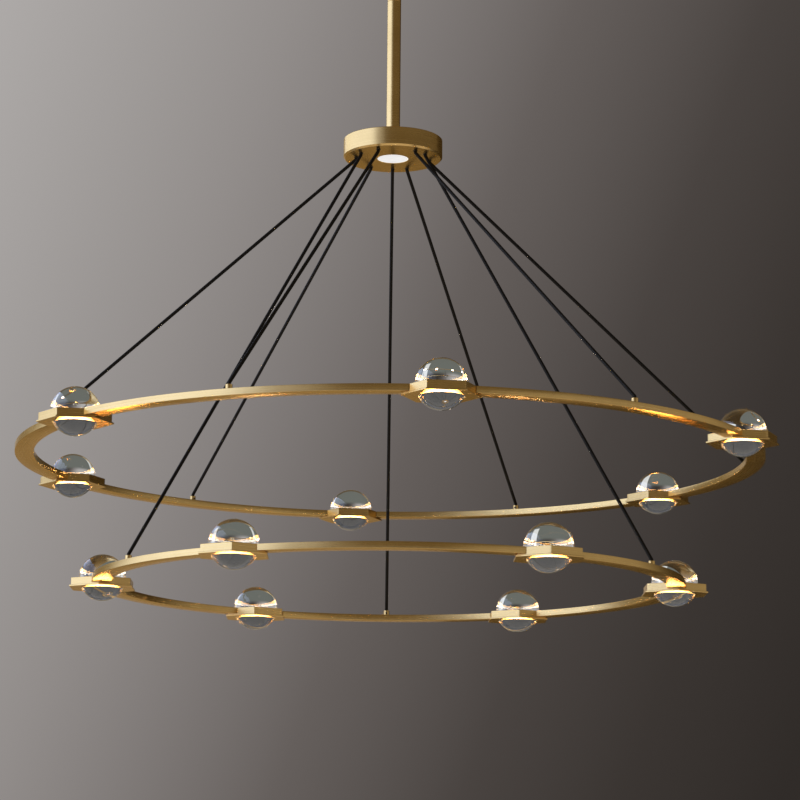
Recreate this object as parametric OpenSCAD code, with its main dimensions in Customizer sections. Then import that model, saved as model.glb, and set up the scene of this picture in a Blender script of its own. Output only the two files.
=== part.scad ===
// Two-tier ring chandelier: two brass rings hang on nine cables from a hub on a rod,
// and each ring holds six clear crystal balls in lit six-sided brackets.
// The origin is the centre of the ceiling face, +Z is up, and all sizes are millimetres.

/* [Upper ring] */
// Outer diameter of the upper ring's bars
upper_ring_d = 1524; // [1380:4:1800]
// Hub underside to the underside of the upper ring's bars
upper_drop = 648; // [450:1:780]
// Turn of the upper ring against the lower ring, in degrees
upper_turn = 6.5; // [0:0.5:12]

/* [Lower ring] */
// Outer diameter of the lower ring's bars
lower_ring_d = 1200; // [1000:4:1320]
// Hub underside to the underside of the lower ring's bars
lower_drop = 906; // [880:1:1200]

/* [Ring bars] */
// Width of a bar, across the ring
bar_w = 38; // [32:0.5:44]
// Height of a bar
bar_h = 12.7; // [12:0.1:18]
// Wall of the hollow bars
bar_wall = 1.5; // [1:0.1:2]
// Joint line between a bar's end and its bracket
bar_joint = 0.3; // [0.1:0.05:0.6]

/* [Brackets] */
// Width of a six-sided frame across its flats
frame_af = 119.5; // [116:0.5:130]
// Wall of a frame
frame_wall = 4; // [3:0.5:5]
// How far a seat plate stands out past the frame's flats
plate_over = 3.5; // [1:0.5:6]
// Thickness of a seat plate
plate_t = 3; // [2:0.5:4]
// Space between a bar's underside and the seat plate below it
bar_lift = 2.3; // [1:0.1:4]
// Length of a joining tongue inside the bar
tongue_len = 30; // [24:1:40]
// Slip fit of a tongue in its bar, on each side
tongue_fit = 0.2; // [0.1:0.05:0.4]

/* [Crystals] */
// Diameter of a crystal ball
crystal_d = 95; // [90:0.5:98]
// Height of a ball's centre over the underside of its seat plate
crystal_up = 22.5; // [18:0.5:26]
// Gap between a ball and the round seat in its plate
crystal_fit = 0.15; // [0.1:0.05:0.3]

/* [Bracket lamps] */
// Height of the lamp strip inside a frame
strip_h = 5; // [5:0.5:9]
// Thickness of the lamp strip
strip_t = 1; // [0.8:0.1:1.6]
// Height of the lamp strip over the seat plate
strip_up = 1; // [1:0.5:5]

/* [Cables] */
// Diameter of a cable
cable_d = 7; // [5:0.5:8]
// Distance of the cable holes from the hub's axis
exit_r = 77; // [73:0.5:80]
// Bend radius of a cable below the hub
exit_bend = 8; // [6:0.5:12]
// Bend radius of a cable above its ferrule
end_bend = 5; // [4.5:0.5:8]
// Gap between a cable and the sleeves it runs through
cable_fit = 0.05; // [0.02:0.01:0.2]

/* [Ferrules] */
// Diameter of a ferrule
ferrule_d = 13; // [12:0.5:16]
// Height of a ferrule over its bar
ferrule_h = 11; // [9:0.5:14]
// Depth of the cable's socket in a ferrule
socket_depth = 8.5; // [7:0.5:8.5]
// Diameter of a ferrule's threaded shank
shank_d = 8; // [7:0.5:9]
// Width across the flats of a ferrule's nut
ferrule_nut_af = 12; // [12:0.5:14]
// Height of a ferrule's nut
ferrule_nut_h = 3; // [2:0.1:3.5]

/* [Hub] */
// Diameter of the hub
hub_d = 207; // [200:1:230]
// Height of the hub
hub_h = 40; // [40:0.5:55]
// Wall of the hub's shell
hub_wall = 3; // [2:0.5:3.5]
// Thickness of the hub's underside plate
hub_plate_t = 5; // [4:0.5:6]
// Chamfer round the hub's lower edge
hub_chamfer = 3.5; // [1:0.5:3.5]
// Distance of the hub's posts from its axis
post_r = 95; // [94:0.5:95]
// Diameter of a hub post
post_d = 7; // [6.5:0.5:8]
// Diameter of the cable grips inside the hub
grip_d = 14; // [12:0.5:14]
// Height of the cable grips
grip_h = 14; // [12:0.5:18]
// Diameter of the soft bushings in the cable holes
bushing_d = 10; // [9.5:0.5:12]

/* [Downlight] */
// Diameter of the lit disc in the hub's underside
lens_d = 64.8; // [50:0.2:66]
// Depth of the lit disc above the hub's underside
lens_recess = 0.8; // [0.2:0.1:1.5]
// Width of the ledge that the lens rests on
lens_ledge = 4.5; // [3:0.5:5]
// Height of the lamp housing over the underside plate
housing_h = 17; // [14:0.5:18]

/* [Supply parts in the hub] */
// Length of a lamp driver
driver_l = 58; // [40:1:60]
// Width of a lamp driver
driver_w = 22; // [16:0.5:23]
// Height of a lamp driver
driver_h = 17; // [12:0.5:20]
// Distance of a driver's inner side from the hub's axis
driver_in = 44; // [43:0.5:45]
// Diameter of one supply lead
lead_d = 2.4; // [1.8:0.1:2.5]

/* [Stem] */
// Diameter of the stem's rods
stem_d = 28.5; // [25:0.5:32]
// Wall of the rods
stem_wall = 1.5; // [1:0.1:2.5]
// Length of the short upper rod
upper_rod_len = 152; // [100:1:600]
// Length of the lower rod
lower_rod_len = 305; // [150:1:900]
// Diameter of the hollow threaded nipples
nipple_d = 12; // [10.5:0.5:13]
// Bore of the nipples
nipple_bore = 8; // [7.8:0.1:8.4]
// Thickness of the threaded plugs in the rods' ends
plug_t = 12; // [10:0.5:16]

/* [Canopy] */
// Diameter of the canopy
canopy_d = 150; // [146:1:200]
// Height of the canopy
canopy_h = 38; // [36:0.5:60]
// Wall of the canopy's rim
canopy_wall = 1.6; // [1:0.1:3]
// Thickness of the canopy's face
face_t = 2.5; // [2:0.1:4]

/* [Ceiling crossbar] */
// Length of the crossbar
crossbar_l = 126; // [124:1:132]
// Width of the crossbar
crossbar_w = 22; // [16:0.5:30]
// Thickness of the crossbar
crossbar_t = 2.5; // [2:0.1:3]
// Spacing of the two ceiling box screws
box_pitch = 88.9; // [84:0.1:89]
// End-to-end length of a slot for a box screw
slot_l = 14; // [10:0.5:14]
// Width of a slot
slot_w = 4.6; // [4.2:0.1:5.2]
// Distance between the canopy's two studs
stud_pitch = 110; // [108:0.5:112]
// Diameter of a stud
stud_d = 4; // [3:0.5:4]

/* [Swivel] */
// Diameter of the swivel ball
ball_d = 44; // [42:0.5:46]
// Height of the ball's centre over the canopy's lower face
ball_up = 12.5; // [12:0.1:13]
// Thickness of the slippery liner round the ball
liner_t = 1.5; // [1:0.1:2]
// Running gap of the swivel's round faces
swivel_fit = 0.08; // [0.04:0.01:0.1]

/* [Hidden] */
$fn = 96;
// A radial gap for threads and pressed parts, which are drawn smooth
thread_fit = 0.05;
// How far a cutter runs past the face that it opens
past = 1;
// Six brackets stand on each ring, and a bar runs between each pair
lights = 6;
step = 360 / lights;
upper_cables = lights;
lower_cables = lights / 2;

upper_r = upper_ring_d / 2 - bar_w / 2;
lower_r = lower_ring_d / 2 - bar_w / 2;
frame_c = frame_af / 2 / cos(30);
frame_in_c = frame_c - frame_wall / cos(30);
plate_c = (frame_af / 2 + plate_over) / cos(30);
frame_h = bar_lift + bar_h;
crystal_r = crystal_d / 2;

wire_d = 2.5;
wire_fit = 0.3;
wire_up = bar_wall + 2.2;
screw_d = 4;
screw_len = 5;
ferrule_screw_up = 5;

cable_r = cable_d / 2;
core_r = 2.2;
bushing_proud = 0.5;
cable_tail = 2;
// A bend starts this far above the ferrule, is this much fatter than the straight
// runs, and swallows their ends by this much, so that the pieces join cleanly.
end_rise = 0.8;
bend_swell = 0.03;
bend_lap = 0.3;

stem_r = stem_d / 2;
rod_chamfer = 0.5;
ball_r = ball_d / 2;
canopy_face = -canopy_h;
ball_z = canopy_face + ball_up;
ball_flat = sqrt(ball_r * ball_r - stem_r * stem_r);
ball_top = 6;
rod_top = ball_z - ball_flat;
rod_joint = rod_top - upper_rod_len;
hub_top = rod_joint - lower_rod_len;
hub_under = hub_top - hub_h;
plate_top = hub_under + hub_plate_t;
shell_under = hub_top - hub_wall;
upper_z = hub_under - upper_drop;
lower_z = hub_under - lower_drop;

liner_in = ball_r + swivel_fit;
liner_out = liner_in + liner_t;
seat_in = liner_out + swivel_fit;
seat_drop = 2;
seat_top = ball_z - seat_drop;
seat_wall = 3.3;
seat_body_r = seat_in + seat_wall;
seat_flange_w = 6;
seat_flange_r = seat_body_r + seat_flange_w;
seat_flange_t = 3;
liner_lip = 1;
liner_low = canopy_face + liner_lip;
liner_drop = 2.5;
liner_high = ball_z - liner_drop;

ledge_t = 2;
lens_flange_t = 1.5;
lens_fit = 0.1;
lens_hole_r = lens_d / 2 + lens_fit;
housing_seat_r = lens_d / 2 + lens_ledge;
housing_low = hub_under + ledge_t + lens_flange_t;
housing_rim = 2;
housing_r = housing_seat_r + housing_rim;
housing_roof = 4;
housing_top = plate_top + housing_h;
groove_w = 2;
groove_deep = 2.4;
groove_r = 16;
groove_pitch = 6;
led_board_t = 1.6;
led_board_r = lens_d / 2 - 2;
led_chip_r = 11;
led_chip_t = 0.8;

nut_af = 22;
nut_h = 5;
nut_flange_r = 15;
nut_flange_t = 1.5;
nipple_reach = 10;
wire_way = 1.6;
head_h = 1.9;
socket_r = 1.4;
socket_h = 1.2;
screw_play = 0.4;
screw_reach = 10;
tap_depth = 12;

post_az = upper_turn + step / 2;
third = 120;
block_az = upper_turn + step * 1.5;
block_w = 26;
block_d = 16;
block_h = 13;
block_in = 45;
block_hole_d = 3.5;
block_hole_deep = 5;
block_hole_edge = 3;
block_hole_pitch = 7;
lead_end_r = 50;
lead_bend = 3;
lead_rise = 2.4;
lead_level = housing_top + lead_rise;
lead_pitch = 2.6;
lead_tail = 10;
loom_r = 88;
loom_up = 24;
loom_level = plate_top + loom_up;
loom_dip = 4;
driver_tap = 6;
loom_d = 4;
loom_drop_d = 2.8;
loom_spoke_d = 3.4;

// Azimuths of the lights and cables, counted from 0 on each ring.
function upper_light_az(i) = upper_turn + step / 2 + step * i;
function lower_light_az(i) = step * i;
function upper_cable_az(i) = upper_turn + step * i;
function lower_cable_az(i) = step * 1.5 + 2 * step * i;
// The arc angle of a length measured along a ring's middle line.
function arc_deg(len, r) = len / r * 180 / PI;

// Puts a piece on a ring, with its X axis along the ring and Y towards the centre.
module on_ring(r, az, z) {
    rotate([0, 0, az]) translate([r, 0, z]) rotate([0, 0, 90]) children();
}

module at_upper_lights(z = upper_z) {
    for (i = [0:lights - 1]) on_ring(upper_r, upper_light_az(i), z) children();
}

module at_lower_lights(z = lower_z) {
    for (i = [0:lights - 1]) on_ring(lower_r, lower_light_az(i), z) children();
}

module at_thirds(az) {
    for (k = [0:2]) rotate([0, 0, az + third * k]) children();
}

// Every cable's azimuth, for the hub's holes, bushings and grips.
module at_cable_exits() {
    for (i = [0:upper_cables - 1]) rotate([0, 0, upper_cable_az(i)]) translate([exit_r, 0, 0]) children();
    for (i = [0:lower_cables - 1]) rotate([0, 0, lower_cable_az(i)]) translate([exit_r, 0, 0]) children();
}

// The top of the bar under every cable.
module at_cable_ends() {
    for (i = [0:upper_cables - 1])
        rotate([0, 0, upper_cable_az(i)]) translate([upper_r, 0, upper_z + bar_h]) children();
    for (i = [0:lower_cables - 1])
        rotate([0, 0, lower_cable_az(i)]) translate([lower_r, 0, lower_z + bar_h]) children();
}

// A box swept along a ring, from one azimuth to another.
module box_arc(r, w, low, h, from, to) {
    rotate([0, 0, from]) rotate_extrude(angle = to - from) translate([r - w / 2, low]) square([w, h]);
}

// A round wire swept along a ring.
module wire_arc(r, d, z, from, to) {
    rotate([0, 0, from]) rotate_extrude(angle = to - from) translate([r, z]) circle(d = d);
}

module hex_prism(c, low, h) {
    translate([0, 0, low]) cylinder(r = c, h = h, $fn = 6);
}

module ring_tube(outer, inner, low, h) {
    difference() {
        translate([0, 0, low]) cylinder(r = outer, h = h);
        translate([0, 0, low - past]) cylinder(r = inner, h = h + 2 * past);
    }
}

// Ceiling crossbar: a steel strip with two slots for the ceiling box and two tapped stud holes.
module stadium(l, w, h) {
    translate([0, 0, h / 2]) cube([l - w, w, h], center = true);
    for (side = [-1, 1]) translate([side * (l - w) / 2, 0, 0]) cylinder(d = w, h = h);
}

ground_x = 14;
ground_gap = 1.2;
ground_head_d = 8;
ground_head_h = 2.4;
ground_slot = 1.2;
stud_tail = 4;

module ceiling_crossbar() {
    color("silver") translate([0, 0, -crossbar_t]) difference() {
        stadium(crossbar_l, crossbar_w, crossbar_t);
        for (side = [-1, 1]) {
            translate([side * box_pitch / 2, 0, -past]) stadium(slot_l, slot_w, crossbar_t + 2 * past);
            translate([side * stud_pitch / 2, 0, -past])
                cylinder(d = stud_d + 2 * thread_fit, h = crossbar_t + 2 * past);
        }
        translate([ground_x, 0, -past]) cylinder(d = screw_d + 2 * thread_fit, h = crossbar_t + 2 * past);
    }
}

module ground_screw() {
    head_top = -crossbar_t - ground_gap;
    color("green") translate([ground_x, 0, head_top]) difference() {
        union() {
            cylinder(d = screw_d, h = -head_top);
            translate([0, 0, -ground_head_h]) cylinder(d = ground_head_d, h = ground_head_h);
        }
        translate([0, 0, -ground_head_h])
            cube([ground_head_d + 2 * past, ground_slot, ground_head_h], center = true);
    }
}

module canopy_studs() {
    color("silver") for (side = [-1, 1])
        translate([side * stud_pitch / 2, 0, canopy_face - stud_tail])
            cylinder(d = stud_d, h = canopy_h + stud_tail);
}

// Canopy: a shallow brass cup over the ceiling box, held by two domed nuts on the studs.
canopy_edge = 1.5;
stud_play = 0.6;
nut_r = 6.5;
nut_skirt = 4;
nut_dome_r = 8;
nut_roof = 0.5;

module canopy_cover() {
    r = canopy_d / 2;
    edge = canopy_edge;
    hole = seat_body_r + swivel_fit;
    color("goldenrod") difference() {
        rotate_extrude() polygon([
            [hole, canopy_face], [r - edge, canopy_face], [r, canopy_face + edge], [r, 0],
            [r - canopy_wall, 0], [r - canopy_wall, canopy_face + face_t], [hole, canopy_face + face_t]]);
        for (side = [-1, 1]) translate([side * stud_pitch / 2, 0, canopy_face - past])
            cylinder(d = stud_d + stud_play, h = face_t + 2 * past);
    }
}

module canopy_cap_nuts() {
    dome_drop = sqrt(nut_dome_r * nut_dome_r - nut_r * nut_r);
    bore_deep = max(nut_skirt, stud_tail) + nut_roof;
    color("goldenrod") for (side = [-1, 1]) translate([side * stud_pitch / 2, 0, canopy_face]) difference() {
        intersection() {
            translate([0, 0, -2 * nut_skirt]) cylinder(r = nut_r, h = 2 * nut_skirt);
            translate([0, 0, dome_drop - nut_skirt]) sphere(r = nut_dome_r);
        }
        translate([0, 0, -bore_deep]) cylinder(d = stud_d + 2 * thread_fit, h = bore_deep + past);
    }
}

// Swivel: the ball hangs in a round seat, which turns in the canopy, on a slippery liner.
module swivel_seat() {
    color("goldenrod") difference() {
        union() {
            translate([0, 0, canopy_face]) cylinder(r = seat_body_r, h = seat_top - canopy_face);
            translate([0, 0, canopy_face + face_t + swivel_fit]) cylinder(r = seat_flange_r, h = seat_flange_t);
        }
        translate([0, 0, ball_z]) sphere(r = seat_in);
    }
}

module swivel_liner() {
    color("white") difference() {
        intersection() {
            translate([0, 0, ball_z]) sphere(r = liner_out);
            translate([0, 0, liner_low]) cylinder(r = seat_body_r, h = liner_high - liner_low);
        }
        translate([0, 0, ball_z]) sphere(r = liner_in);
    }
}

module swivel_ball() {
    color("goldenrod") difference() {
        intersection() {
            translate([0, 0, ball_z]) sphere(r = ball_r);
            translate([0, 0, rod_top]) cylinder(r = ball_r + past, h = ball_flat + ball_top);
        }
        translate([0, 0, rod_top - past]) cylinder(d = nipple_bore + wire_way, h = ball_flat + ball_top + 2 * past);
        translate([0, 0, rod_top - past]) cylinder(d = nipple_d + 2 * thread_fit, h = nipple_reach + past);
    }
}

// Stem: two brass tubes with threaded plugs in their ends, joined by hollow nipples.
module rod(top, len) {
    c = rod_chamfer;
    bottom = top - len;
    color("goldenrod") rotate_extrude() polygon([
        [stem_r - stem_wall, bottom], [stem_r - c, bottom], [stem_r, bottom + c], [stem_r, top - c],
        [stem_r - c, top], [stem_r - stem_wall, top]]);
}

module upper_rod() {
    rod(rod_top, upper_rod_len);
}

module lower_rod() {
    rod(rod_joint, lower_rod_len);
}

module rod_end_plugs() {
    for (low = [rod_top - plug_t, rod_joint, rod_joint - plug_t, hub_top])
        color("goldenrod") ring_tube(stem_r - stem_wall - thread_fit, nipple_d / 2 + thread_fit, low, plug_t);
}

module stem_nipples() {
    color("silver") {
        ring_tube(nipple_d / 2, nipple_bore / 2, rod_top - nipple_reach, 2 * nipple_reach);
        ring_tube(nipple_d / 2, nipple_bore / 2, rod_joint - nipple_reach, 2 * nipple_reach);
        ring_tube(nipple_d / 2, nipple_bore / 2, shell_under - nipple_reach, 2 * nipple_reach + hub_wall);
    }
}

module hub_flange_nut() {
    color("silver") difference() {
        union() {
            translate([0, 0, shell_under - nut_flange_t]) cylinder(r = nut_flange_r, h = nut_flange_t);
            hex_prism(nut_af / 2 / cos(30), shell_under - nut_flange_t - nut_h, nut_h);
        }
        translate([0, 0, shell_under - nut_h - 2 * nut_flange_t])
            cylinder(d = nipple_d + 2 * thread_fit, h = nut_h + 3 * nut_flange_t);
    }
}

// Supply leads: three wires run down through the stem and turn over to the terminal block.
module supply_leads() {
    r = lead_d / 2;
    top = ball_z + ball_top + lead_tail;
    colors = ["black", "white", "green"];
    for (k = [0:2]) color(colors[k]) rotate([0, 0, block_az]) translate([0, (k - 1) * lead_pitch, 0]) {
        translate([0, 0, lead_level + lead_bend]) cylinder(r = r, h = top - lead_level - lead_bend);
        translate([lead_bend, 0, lead_level + lead_bend]) rotate([90, 0, 0]) rotate([0, 0, 180])
            rotate_extrude(angle = 90) translate([lead_bend, 0]) circle(r = r);
        translate([lead_bend, 0, lead_level]) rotate([0, 90, 0]) cylinder(r = r, h = lead_end_r - 2 * lead_bend);
        translate([lead_end_r - lead_bend, 0, lead_level - lead_bend]) rotate([90, 0, 0])
            rotate_extrude(angle = 90) translate([lead_bend, 0]) circle(r = r);
        translate([lead_end_r, 0, plate_top + block_h])
            cylinder(r = r, h = lead_level - lead_bend - plate_top - block_h);
    }
}

// Hub: a brass shell closed by an underside plate, which carries the cables and the downlight.
hub_edge = 1;
nipple_play = 0.2;
head_play = 0.1;

module hub_shell() {
    r = hub_d / 2;
    edge = hub_edge;
    hole = nipple_d / 2 + nipple_play;
    sink_h = head_h + head_play;
    color("goldenrod") difference() {
        rotate_extrude() polygon([
            [hole, shell_under], [r - hub_wall, shell_under], [r - hub_wall, plate_top],
            [r, plate_top], [r, hub_top - edge], [r - edge, hub_top], [hole, hub_top]]);
        at_thirds(post_az) translate([post_r, 0, hub_top]) {
            translate([0, 0, -hub_wall - past]) cylinder(d = screw_d + screw_play, h = hub_wall + 2 * past);
            translate([0, 0, -sink_h]) cylinder(r1 = screw_d / 2, r2 = screw_d, h = sink_h);
            cylinder(r = screw_d, h = past);
        }
    }
}

module hub_plate() {
    r = hub_d / 2;
    color("goldenrod") difference() {
        rotate_extrude() polygon([
            [lens_hole_r, hub_under], [r - hub_chamfer, hub_under], [r, hub_under + hub_chamfer],
            [r, plate_top], [housing_seat_r, plate_top], [housing_seat_r, hub_under + ledge_t],
            [lens_hole_r, hub_under + ledge_t]]);
        at_cable_exits() translate([0, 0, hub_under - past]) cylinder(d = bushing_d, h = hub_plate_t + 2 * past);
    }
}

module hub_posts() {
    h = shell_under - plate_top;
    color("goldenrod") at_thirds(post_az) translate([post_r, 0, plate_top]) difference() {
        cylinder(d = post_d, h = h);
        translate([0, 0, h - tap_depth]) cylinder(d = screw_d + 2 * thread_fit, h = tap_depth + past);
    }
}

module hub_screws() {
    len = hub_wall + screw_reach;
    color("silver") at_thirds(post_az) translate([post_r, 0, hub_top]) difference() {
        union() {
            translate([0, 0, -len]) cylinder(d = screw_d, h = len);
            translate([0, 0, -head_h]) cylinder(r1 = screw_d / 2, r2 = screw_d - head_play, h = head_h);
        }
        cylinder(r = socket_r, h = 2 * socket_h, center = true, $fn = 6);
    }
}

module cable_bushings() {
    outer = bushing_d / 2 - thread_fit;
    color("black") at_cable_exits()
        ring_tube(outer, cable_r + cable_fit, hub_under - bushing_proud, hub_plate_t + bushing_proud);
}

// Each grip clamps its cable above the hub's underside plate with one set screw.
module cable_grips() {
    color("goldenrod") at_cable_exits() difference() {
        ring_tube(grip_d / 2, cable_r + cable_fit, plate_top, grip_h);
        translate([cable_r, 0, plate_top + grip_h / 2]) rotate([0, 90, 0])
            cylinder(d = screw_d + 2 * thread_fit, h = grip_d);
    }
}

// Downlight: a frosted lens on a ledge, held by a screwed-in housing with the lamp board in it.
housing_play = 0.7;

module downlight_housing() {
    color("gray") difference() {
        union() {
            translate([0, 0, housing_low]) cylinder(r = housing_seat_r - thread_fit, h = plate_top - housing_low);
            translate([0, 0, plate_top]) cylinder(r = housing_r, h = housing_h);
        }
        translate([0, 0, housing_low - past])
            cylinder(r = lens_d / 2 + housing_play, h = housing_top - housing_roof - housing_low + past);
        for (k = [0:2]) ring_tube(
            groove_r + groove_pitch * k + groove_w, groove_r + groove_pitch * k,
            housing_top - groove_deep, groove_deep + past);
    }
}

module downlight_led_board() {
    roof = housing_top - housing_roof;
    color("lightyellow") {
        translate([0, 0, roof - led_board_t]) cylinder(r = led_board_r, h = led_board_t);
        translate([0, 0, roof - led_board_t - led_chip_t]) cylinder(r = led_chip_r, h = led_chip_t);
    }
}

module downlight_lens() {
    disc_h = ledge_t + lens_flange_t - lens_recess;
    color("white") {
        translate([0, 0, hub_under + lens_recess]) cylinder(d = lens_d, h = disc_h);
        translate([0, 0, hub_under + ledge_t]) cylinder(r = housing_seat_r - lens_fit, h = lens_flange_t);
    }
}

module led_drivers() {
    color("whitesmoke") at_thirds(post_az) translate([driver_in, -driver_l / 2, plate_top])
        cube([driver_w, driver_l, driver_h]);
}

module terminal_block() {
    color("ivory") rotate([0, 0, block_az]) translate([block_in, -block_w / 2, plate_top]) difference() {
        cube([block_d, block_w, block_h]);
        for (k = [-1:1])
            translate([block_d - block_hole_edge, block_w / 2 + block_hole_pitch * k, block_h - block_hole_deep])
                cylinder(d = block_hole_d, h = block_hole_deep + past);
    }
}

// Wiring loom: a loop of wire round the hub, with a drop to every cable, driver and the block.
module loom_spoke(r, foot) {
    translate([r, 0, foot]) cylinder(d = loom_drop_d, h = loom_level - foot);
    translate([r - loom_spoke_d / 2, 0, loom_level]) rotate([0, 90, 0])
        cylinder(d = loom_spoke_d, h = loom_r - r + loom_spoke_d / 2);
}

module hub_wiring_loom() {
    color("dimgray") {
        rotate_extrude() translate([loom_r, loom_level]) circle(d = loom_d);
        at_cable_exits() translate([-exit_r, 0, 0]) loom_spoke(exit_r, plate_top + grip_h + cable_tail);
        at_thirds(post_az) loom_spoke(driver_in + driver_w - driver_tap, plate_top + driver_h);
        rotate([0, 0, block_az]) loom_spoke(block_in + block_d - block_hole_edge, plate_top + block_h - loom_dip);
    }
}

// Cable: straight down through the hub's plate, one bend, a straight run, and a bend to the ferrule.
module cable(az, r, bar_top) {
    start_z = hub_under - bushing_proud;
    end_z = bar_top + ferrule_h + end_rise;
    across = r - exit_r - exit_bend - end_bend;
    down = start_z - end_z;
    span = sqrt(across * across + down * down);
    turn = atan2(across, down) + asin((exit_bend + end_bend) / span);
    run = sqrt(span * span - pow(exit_bend + end_bend, 2));
    top = plate_top + grip_h + cable_tail;
    bend_r = cable_r + bend_swell;
    core_low = bar_top - bar_wall - ferrule_nut_h;
    color("black") rotate([0, 0, az]) {
        translate([exit_r, 0, start_z - bend_lap]) cylinder(r = cable_r, h = top - start_z + bend_lap);
        translate([exit_r + exit_bend, 0, start_z]) rotate([90, 0, 0]) rotate([0, 0, 180])
            rotate_extrude(angle = turn) translate([exit_bend, 0]) circle(r = bend_r);
        translate([r - end_bend * (1 - cos(turn)), 0, end_z + end_bend * sin(turn)]) rotate([0, -turn, 0])
            translate([0, 0, -bend_lap]) cylinder(r = cable_r, h = run + 2 * bend_lap);
        translate([r - end_bend, 0, end_z]) rotate([90, 0, 0])
            rotate_extrude(angle = turn) translate([end_bend, 0]) circle(r = bend_r);
        translate([r, 0, bar_top + ferrule_h - socket_depth])
            cylinder(r = cable_r, h = socket_depth + end_rise + bend_lap);
        translate([r, 0, core_low]) cylinder(r = core_r, h = bar_top + ferrule_h / 2 - core_low);
    }
}

// Ferrule: a brass socket on top of the bar, with a threaded shank and a nut inside the bar.
ferrule_edge = 0.5;
shank_tail = 0.5;
core_fit = 0.1;

module cable_ferrules() {
    edge = ferrule_edge;
    r = ferrule_d / 2;
    shank_low = -bar_wall - ferrule_nut_h - shank_tail;
    bore = core_r + core_fit;
    color("goldenrod") at_cable_ends() difference() {
        rotate_extrude() polygon([
            [bore, shank_low], [shank_d / 2, shank_low], [shank_d / 2, 0], [r, 0], [r, ferrule_h - edge],
            [r - edge, ferrule_h], [cable_r + cable_fit, ferrule_h],
            [cable_r + cable_fit, ferrule_h - socket_depth], [bore, ferrule_h - socket_depth]]);
        translate([-cable_r, 0, ferrule_screw_up]) rotate([0, -90, 0])
            cylinder(d = screw_d + 2 * thread_fit, h = ferrule_d);
    }
}

module ferrule_nuts() {
    color("silver") at_cable_ends() difference() {
        hex_prism(ferrule_nut_af / 2 / cos(30), -bar_wall - ferrule_nut_h, ferrule_nut_h);
        translate([0, 0, -bar_wall - ferrule_nut_h - past])
            cylinder(d = shank_d + 2 * thread_fit, h = ferrule_nut_h + 2 * past);
    }
}

// Joint screws: one at each tongue, halfway along the part that is inside the bar.
function joint_deg(r) = arc_deg(frame_c + tongue_len / 2, r);

module at_joint_screws(r, z, az) {
    for (side = [-1, 1]) rotate([0, 0, az + side * joint_deg(r)]) translate([r, 0, z + bar_h]) children();
}

key_r = 1.15;
key_deep = 1.6;
screw_sunk = 0.3;
screw_tip = 0.1;

module set_screw(len) {
    translate([0, 0, -len - screw_sunk]) difference() {
        cylinder(d = screw_d, h = len);
        translate([0, 0, len - key_deep]) cylinder(r = key_r, h = key_deep + past, $fn = 6);
    }
}

module set_screws() {
    ferrule_screw = ferrule_d / 2 - cable_r - screw_sunk - screw_tip;
    grip_screw = grip_d / 2 - cable_r - screw_sunk - screw_tip;
    color("dimgray") {
        for (i = [0:lights - 1]) {
            at_joint_screws(upper_r, upper_z, upper_light_az(i)) set_screw(screw_len);
            at_joint_screws(lower_r, lower_z, lower_light_az(i)) set_screw(screw_len);
        }
        at_cable_ends() translate([-ferrule_d / 2, 0, ferrule_screw_up]) rotate([0, -90, 0]) set_screw(ferrule_screw);
        at_cable_exits() translate([grip_d / 2, 0, plate_top + grip_h / 2]) rotate([0, 90, 0]) set_screw(grip_screw);
    }
}

// Ring bar: a hollow brass bar bent to the ring, with its ends cut to fit the two brackets.
module ring_bar(r, z, az, has_cable) {
    cut = frame_c + bar_joint / cos(30);
    difference() {
        box_arc(r, bar_w, z, bar_h, az, az + step);
        box_arc(r, bar_w - 2 * bar_wall, z + bar_wall, bar_h - 2 * bar_wall, az - 1, az + step + 1);
        for (end = [az, az + step]) on_ring(r, end, z) hex_prism(cut, -past, bar_h + 2 * past);
        for (end = [az + joint_deg(r), az + step - joint_deg(r)]) rotate([0, 0, end])
            translate([r, 0, z + bar_h - bar_wall - past])
                cylinder(d = screw_d + 2 * thread_fit, h = bar_wall + 2 * past);
        if (has_cable) rotate([0, 0, az + step / 2]) translate([r, 0, z + bar_h - bar_wall - past])
            cylinder(d = shank_d + 2 * thread_fit, h = bar_wall + 2 * past);
    }
}

module upper_ring_bars() {
    color("goldenrod") for (i = [0:lights - 1]) ring_bar(upper_r, upper_z, upper_light_az(i), true);
}

module lower_ring_bars() {
    color("goldenrod") for (i = [0:lights - 1]) ring_bar(lower_r, lower_z, lower_light_az(i), i % 2 == 1);
}

// Tongue: a brass block on each side of a bracket that slides into the hollow bar.
module tongue_pair(r, z, az) {
    w = bar_w - 2 * bar_wall - 2 * tongue_fit;
    h = bar_h - 2 * bar_wall - 2 * tongue_fit;
    low = z + bar_wall + tongue_fit;
    reach = arc_deg(frame_c + tongue_len, r);
    inner = arc_deg(frame_c / 2, r);
    for (side = [-1, 1]) difference() {
        box_arc(r, w, low, h, side > 0 ? az + inner : az - reach, side > 0 ? az + reach : az - inner);
        wire_arc(r, wire_d + 2 * wire_fit, z + wire_up, az - reach - 1, az + reach + 1);
        on_ring(r, az, z) hex_prism(frame_c, -past, frame_h + 2 * past);
        rotate([0, 0, az + side * joint_deg(r)]) translate([r, 0, z + bar_h - screw_len - screw_sunk])
            cylinder(d = screw_d + 2 * thread_fit, h = screw_len);
    }
}

module joining_tongues() {
    color("goldenrod") for (i = [0:lights - 1]) {
        tongue_pair(upper_r, upper_z, upper_light_az(i));
        tongue_pair(lower_r, lower_z, lower_light_az(i));
    }
}

// Wiring inside the bars, from one bracket's lamp strip to the next one's.
wire_end_gap = 0.6;

module bar_wire(r, z, az) {
    end = arc_deg(frame_in_c + wire_end_gap, r);
    wire_arc(r, wire_d, z + wire_up, az + end, az + step - end);
}

module ring_wiring() {
    color("red") for (i = [0:lights - 1]) {
        bar_wire(upper_r, upper_z, upper_light_az(i));
        bar_wire(lower_r, lower_z, lower_light_az(i));
    }
}

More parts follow.
